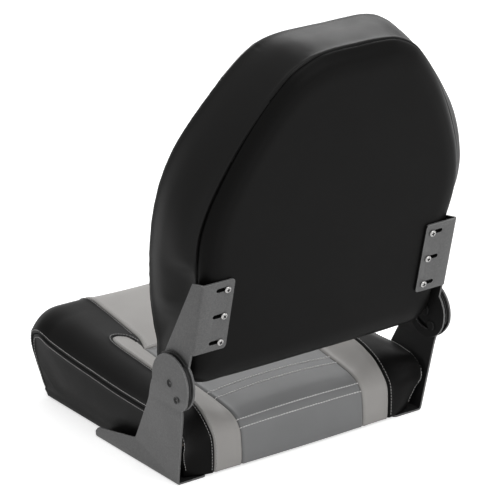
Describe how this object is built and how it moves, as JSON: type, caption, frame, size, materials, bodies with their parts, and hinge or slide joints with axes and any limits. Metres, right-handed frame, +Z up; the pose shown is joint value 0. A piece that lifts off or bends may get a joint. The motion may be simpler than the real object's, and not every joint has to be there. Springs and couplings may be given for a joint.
{
  "type": "folding boat seat",
  "caption": "Padded boat seat whose backrest folds forward on steel side hinges, with a flat base for a pedestal.",
  "frame": {"origin": "middle of the seat base's underside, in the centre of the square of threaded inserts for the pedestal", "axes": "+Z up, -Y the way the sitter faces, +X to the sitter's left"},
  "size_m": [0.492, 0.5305, 0.6354],
  "materials": {
    "black_vinyl": "grained, satin",
    "light_vinyl": "grained, satin",
    "mid_vinyl": "grained, satin",
    "foam": "open foam, matte",
    "base_plastic": "moulded, matte",
    "plywood": "bare",
    "grey_steel": "grey powder coat, satin",
    "dark_plastic": "matte",
    "bright_steel": "stainless"
  },
  "bodies": {
    "seat": {"seat_base": "base_plastic", "seat_foam": "foam", "seat_cover_insert": "mid_vinyl", "seat_cover_front": "light_vinyl", "seat_cover_stripe_left": "light_vinyl", "seat_cover_bolster_left": "black_vinyl", "seat_cover_side_left": "black_vinyl", "seat_bracket_left": "grey_steel", "hinge_plate_left": "grey_steel", "hinge_spacer_outer_left": "dark_plastic", "pivot_rivet_left": "grey_steel", "stop_rivet_left": "grey_steel", "base_screw_left_1": "bright_steel", "base_screw_left_2": "bright_steel", "base_screw_left_3": "bright_steel", "seat_cover_stripe_right": "light_vinyl", "seat_cover_bolster_right": "black_vinyl", "seat_cover_side_right": "black_vinyl", "seat_bracket_right": "grey_steel", "hinge_plate_right": "grey_steel", "hinge_spacer_outer_right": "dark_plastic", "pivot_rivet_right": "grey_steel", "stop_rivet_right": "grey_steel", "base_screw_right_1": "bright_steel", "base_screw_right_2": "bright_steel", "base_screw_right_3": "bright_steel", "pedestal_t_nut_1": "bright_steel", "pedestal_t_nut_2": "bright_steel", "pedestal_t_nut_3": "bright_steel", "pedestal_t_nut_4": "bright_steel"},
    "back": {"back_board": "plywood", "back_foam": "foam", "back_cover_rear": "black_vinyl", "back_cover_boxing": "black_vinyl", "back_cover_front_insert": "mid_vinyl", "back_cover_front_stripe_left": "light_vinyl", "back_cover_front_side_left": "black_vinyl", "back_bracket_left": "grey_steel", "hinge_spacer_inner_left": "dark_plastic", "back_t_nut_left_1": "bright_steel", "back_screw_left_1": "bright_steel", "back_t_nut_left_2": "bright_steel", "back_screw_left_2": "bright_steel", "back_t_nut_left_3": "bright_steel", "back_screw_left_3": "bright_steel", "back_cover_front_stripe_right": "light_vinyl", "back_cover_front_side_right": "black_vinyl", "back_bracket_right": "grey_steel", "hinge_spacer_inner_right": "dark_plastic", "back_t_nut_right_1": "bright_steel", "back_screw_right_1": "bright_steel", "back_t_nut_right_2": "bright_steel", "back_screw_right_2": "bright_steel", "back_t_nut_right_3": "bright_steel", "back_screw_right_3": "bright_steel"}
  },
  "joints": [
    {"name": "back_fold", "type": "hinge", "parent": "seat", "child": "back", "pos_m": [0, 0.1835, 0.1554], "axis": [1, 0, 0], "range_deg": [0, 85]}
  ]
}
